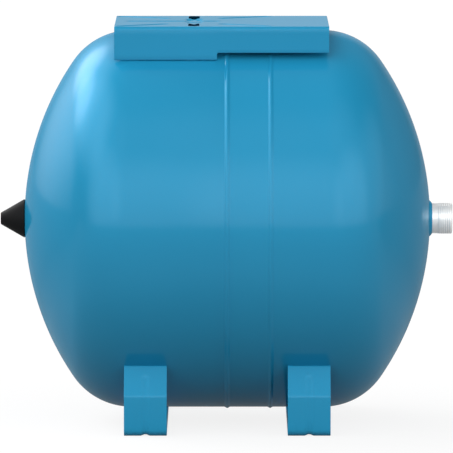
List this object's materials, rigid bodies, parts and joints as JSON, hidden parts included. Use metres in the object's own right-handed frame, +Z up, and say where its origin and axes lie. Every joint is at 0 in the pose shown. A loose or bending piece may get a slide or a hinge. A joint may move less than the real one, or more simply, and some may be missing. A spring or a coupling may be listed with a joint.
{
  "type": "expansion tank",
  "caption": "Horizontal steel expansion tank with domed ends, a rolled bead, a slotted pump console on top, folded strap feet, a pipe connection and a capped gas valve.",
  "frame": {"origin": "on the floor, under the middle of the tank's overall length and depth", "axes": "+X along the tank's axis towards the water connection, -X towards the gas valve, -Y the front in the picture, +Z up"},
  "size_m": [0.49, 0.412, 0.4347],
  "materials": {
    "blue_paint": "gloss powder coat",
    "black_plastic": "moulded, satin",
    "plated_steel": "bright zinc plate",
    "galvanised_steel": "galvanised",
    "spring_steel": "bright drawn",
    "brass": "turned",
    "butyl_rubber": "matt",
    "packing": "matt",
    "guard_plastic": "moulded"
  },
  "bodies": {
    "tank": {"gas_side_shell": "blue_paint", "water_side_shell": "blue_paint", "girth_weld": "blue_paint", "diaphragm": "butyl_rubber", "diaphragm_clamp_ring": "galvanised_steel", "water_nozzle": "plated_steel", "nozzle_weld": "blue_paint", "nozzle_grid": "guard_plastic", "valve_stem": "brass", "valve_weld": "blue_paint", "valve_core_body": "brass", "valve_core_packing": "packing", "valve_spring": "spring_steel", "pump_console": "blue_paint", "console_welds": "blue_paint", "gas_side_foot": "blue_paint", "water_side_foot": "blue_paint", "foot_welds": "blue_paint"},
    "cap": {"valve_cap": "black_plastic"},
    "pin": {"valve_pin": "spring_steel", "valve_pin_seal": "packing"}
  },
  "joints": [
    {"name": "cap_pull", "type": "slide", "parent": "tank", "child": "cap", "axis": [-1, 0, 0], "range_m": [0, 0.03]},
    {"name": "valve_press", "type": "slide", "parent": "tank", "child": "pin", "axis": [1, 0, 0], "range_m": [0, 0.0015], "stiffness_N_per_m": 500, "deforming": ["valve_spring"]}
  ]
}
